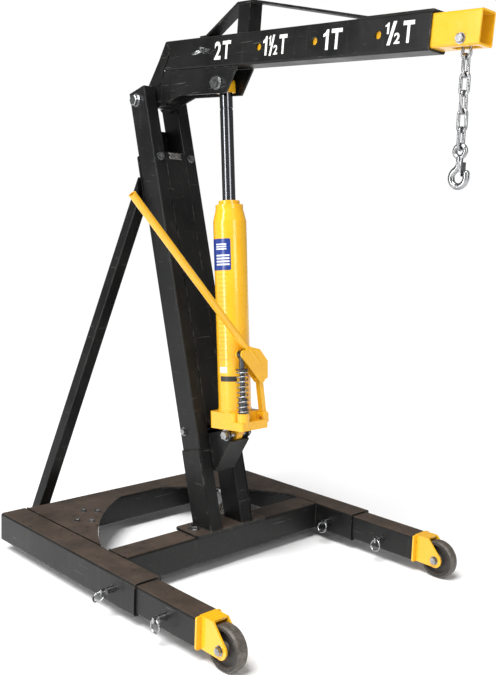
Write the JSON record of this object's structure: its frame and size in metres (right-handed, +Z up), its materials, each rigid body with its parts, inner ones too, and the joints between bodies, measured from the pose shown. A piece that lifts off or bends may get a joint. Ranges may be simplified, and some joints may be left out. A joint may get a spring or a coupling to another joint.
{
  "type": "engine hoist crane",
  "caption": "Wheeled floor crane with a leaning mast, telescoping boom, hydraulic ram jack, lifting chain and hook.",
  "frame": {"origin": "middle of the footprint, on the floor", "axes": "+X is forward, the way the boom points; +Y is the hoist's left; +Z is up"},
  "size_m": [1.3956, 1.0464, 1.706],
  "materials": {
    "frame_paint": "semi-gloss charcoal paint",
    "yellow_paint": "gloss yellow paint",
    "zinc": "bright zinc plate",
    "ram_steel": "polished ground steel",
    "dark_steel": "oiled steel",
    "spring_steel": "drawn wire",
    "wheel": "moulded nylon wheel"
  },
  "bodies": {
    "frame": {"outer_arm_right": "frame_paint", "outer_arm_left": "frame_paint", "rear_crossbar": "frame_paint", "front_crossbar": "frame_paint", "corner_gussets": "frame_paint", "mast_foot_plate": "frame_paint", "mast_post_right": "frame_paint", "mast_post_left": "frame_paint", "mast_web_plates": "frame_paint", "mast_doublers": "frame_paint", "jack_bracket": "frame_paint", "rear_braces": "frame_paint", "frame_bolts": "zinc", "boom_pivot_bolt": "zinc", "jack_foot_bolt": "zinc", "rear_caster_plates": "zinc", "caster_plate_bolts": "zinc"},
    "boom": {"outer_boom": "frame_paint", "boom_gussets": "frame_paint", "king_post_and_strap": "frame_paint", "boom_pivot_sleeve": "zinc", "ram_bolt_ends": "zinc"},
    "boom_extension": {"inner_boom": "yellow_paint", "chain_bolt": "zinc"},
    "boom_lock_pin": {"boom_pin": "zinc"},
    "arm_lock_pin_right": {"arm_pin_right": "zinc"},
    "arm_lock_pin_left": {"arm_pin_left": "zinc"},
    "leg_lock_pin_right": {"leg_pin_right": "zinc"},
    "leg_lock_pin_left": {"leg_pin_left": "zinc"},
    "sliding_leg_right": {"leg_right": "frame_paint", "front_fork_right": "yellow_paint", "front_axle_right": "zinc"},
    "sliding_leg_left": {"leg_left": "frame_paint", "front_fork_left": "yellow_paint", "front_axle_left": "zinc"},
    "front_wheel_right": {"front_wheel_right": "wheel"},
    "front_wheel_left": {"front_wheel_left": "wheel"},
    "rear_swivel_right": {"rear_fork_right": "zinc"},
    "rear_swivel_left": {"rear_fork_left": "zinc"},
    "rear_wheel_right": {"rear_wheel_right": "wheel"},
    "rear_wheel_left": {"rear_wheel_left": "wheel"},
    "hook": {"hook": "zinc"},
    "latch": {"hook_latch": "zinc"},
    "jack": {"jack_lug": "yellow_paint", "jack_base": "yellow_paint", "jack_cylinder": "yellow_paint", "pump_cylinder": "dark_steel", "pump_spring": "spring_steel"},
    "ram": {"ram_rod": "ram_steel", "ram_head": "yellow_paint"},
    "pump_piston": {"pump_piston": "dark_steel"},
    "pump_link": {"pump_link": "yellow_paint"},
    "pump_lever": {"pump_lever": "yellow_paint"},
    "pump_handle": {"pump_handle": "yellow_paint"},
    "chain_link_1": {"chain_link_1": "zinc"},
    "chain_link_2": {"chain_link_2": "zinc"},
    "chain_link_3": {"chain_link_3": "zinc"},
    "chain_link_4": {"chain_link_4": "zinc"},
    "chain_link_5": {"chain_link_5": "zinc"},
    "chain_link_6": {"chain_link_6": "zinc"}
  },
  "joints": [
    {"name": "boom_pitch", "type": "hinge", "parent": "frame", "child": "boom", "pos_m": [-0.51868, 0.02718, 1.45065], "axis": [0, -1, 0], "range_deg": [-25, 35]},
    {"name": "boom_extend", "type": "slide", "parent": "boom", "child": "boom_extension", "axis": [0.9983, 0, -0.0576], "range_m": [0, 0.6378]},
    {"name": "boom_pin_pull", "type": "slide", "parent": "boom", "child": "boom_lock_pin", "axis": [0, -1, 0], "range_m": [0, 0.12]},
    {"name": "leg_extend_right", "type": "slide", "parent": "frame", "child": "sliding_leg_right", "axis": [1, 0, 0], "range_m": [0, 0.13]},
    {"name": "arm_pin_pull_right", "type": "slide", "parent": "frame", "child": "arm_lock_pin_right", "axis": [0, -1, 0], "range_m": [0, 0.13]},
    {"name": "leg_pin_pull_right", "type": "slide", "parent": "sliding_leg_right", "child": "leg_lock_pin_right", "axis": [0, -1, 0], "range_m": [0, 0.12]},
    {"name": "front_roll_right", "type": "hinge", "parent": "sliding_leg_right", "child": "front_wheel_right", "pos_m": [0.37753, -0.41782, 0.057], "axis": [0, 1, 0], "continuous": true},
    {"name": "rear_swivel_right", "type": "hinge", "parent": "frame", "child": "rear_swivel_right", "pos_m": [-0.45947, -0.26382, 0.097], "axis": [0, 0, 1], "continuous": true},
    {"name": "rear_roll_right", "type": "hinge", "parent": "rear_swivel_right", "child": "rear_wheel_right", "pos_m": [-0.47799, -0.23531, 0.04], "axis": [0.8387, 0.5446, 0], "continuous": true},
    {"name": "leg_extend_left", "type": "slide", "parent": "frame", "child": "sliding_leg_left", "axis": [1, 0, 0], "range_m": [0, 0.13]},
    {"name": "arm_pin_pull_left", "type": "slide", "parent": "frame", "child": "arm_lock_pin_left", "axis": [0, -1, 0], "range_m": [0, 0.13]},
    {"name": "leg_pin_pull_left", "type": "slide", "parent": "sliding_leg_left", "child": "leg_lock_pin_left", "axis": [0, -1, 0], "range_m": [0, 0.12]},
    {"name": "front_roll_left", "type": "hinge", "parent": "sliding_leg_left", "child": "front_wheel_left", "pos_m": [0.37753, 0.47218, 0.057], "axis": [0, 1, 0], "continuous": true},
    {"name": "rear_swivel_left", "type": "hinge", "parent": "frame", "child": "rear_swivel_left", "pos_m": [-0.45947, 0.31818, 0.097], "axis": [0, 0, 1], "continuous": true},
    {"name": "rear_roll_left", "type": "hinge", "parent": "rear_swivel_left", "child": "rear_wheel_left", "pos_m": [-0.47799, 0.28966, 0.04], "axis": [-0.8387, 0.5446, 0], "continuous": true},
    {"name": "jack_tilt", "type": "hinge", "parent": "frame", "child": "jack", "pos_m": [-0.08947, 0.02718, 0.425], "axis": [0, -1, 0], "range_deg": [-2, 2]},
    {"name": "ram_stroke", "type": "slide", "parent": "jack", "child": "ram", "axis": [-0.0915, 0, 0.9958], "range_m": [-0.2, 0.25]},
    {"name": "pump_lever_stroke", "type": "hinge", "parent": "pump_link", "child": "pump_lever", "pos_m": [-0.03351, 0.06318, 0.60286], "axis": [0.9958, 0, 0.0915], "range_deg": [0, 28]},
    {"name": "pump_link_swing", "type": "hinge", "parent": "jack", "child": "pump_link", "pos_m": [-0.02326, 0.07518, 0.49133], "axis": [0.9958, 0, 0.0915], "range_deg": [-10, 1]},
    {"name": "pump_piston_stroke", "type": "slide", "parent": "jack", "child": "pump_piston", "axis": [-0.0915, 0, 0.9958], "range_m": [-0.03, 0.002], "deforming": ["pump_spring"]},
    {"name": "handle_pull", "type": "slide", "parent": "pump_lever", "child": "pump_handle", "axis": [-0.0674, -0.6755, 0.7343], "range_m": [0, 0.08]},
    {"name": "chain_swing_1", "type": "hinge", "parent": "boom_extension", "child": "chain_link_1", "pos_m": [0.6452, 0.02718, 1.50154], "axis": [0, 1, 0], "range_deg": [-28, 28]},
    {"name": "chain_swing_2", "type": "hinge", "parent": "chain_link_1", "child": "chain_link_2", "pos_m": [0.6452, 0.02718, 1.46184], "axis": [1, 0, 0], "range_deg": [-25, 25]},
    {"name": "chain_swing_3", "type": "hinge", "parent": "chain_link_2", "child": "chain_link_3", "pos_m": [0.6452, 0.02718, 1.42014], "axis": [0, 1, 0], "range_deg": [-25, 25]},
    {"name": "chain_swing_4", "type": "hinge", "parent": "chain_link_3", "child": "chain_link_4", "pos_m": [0.6452, 0.02718, 1.37844], "axis": [1, 0, 0], "range_deg": [-25, 25]},
    {"name": "chain_swing_5", "type": "hinge", "parent": "chain_link_4", "child": "chain_link_5", "pos_m": [0.6452, 0.02718, 1.33674], "axis": [0, 1, 0], "range_deg": [-25, 25]},
    {"name": "chain_swing_6", "type": "hinge", "parent": "chain_link_5", "child": "chain_link_6", "pos_m": [0.6452, 0.02718, 1.29504], "axis": [1, 0, 0], "range_deg": [-25, 25]},
    {"name": "hook_swing", "type": "hinge", "parent": "chain_link_6", "child": "hook", "pos_m": [0.6452, 0.02718, 1.25334], "axis": [0, 1, 0], "range_deg": [-25, 25]},
    {"name": "latch_open", "type": "hinge", "parent": "hook", "child": "latch", "pos_m": [0.6452, 0.02718, 1.22064], "axis": [0, 1, 0], "range_deg": [0, 25], "stiffness_Nm_per_rad": 0.02, "springref_deg": -17.19}
  ],
  "couplings": [
    {"joint": "jack_tilt", "follows": "boom_pitch", "ratio": 0.0295},
    {"joint": "ram_stroke", "follows": "boom_pitch", "m_per_rad": 0.3234},
    {"joint": "pump_link_swing", "follows": "pump_lever_stroke", "ratio": -0.325},
    {"joint": "pump_piston_stroke", "follows": "pump_lever_stroke", "m_per_rad": -0.0525}
  ]
}
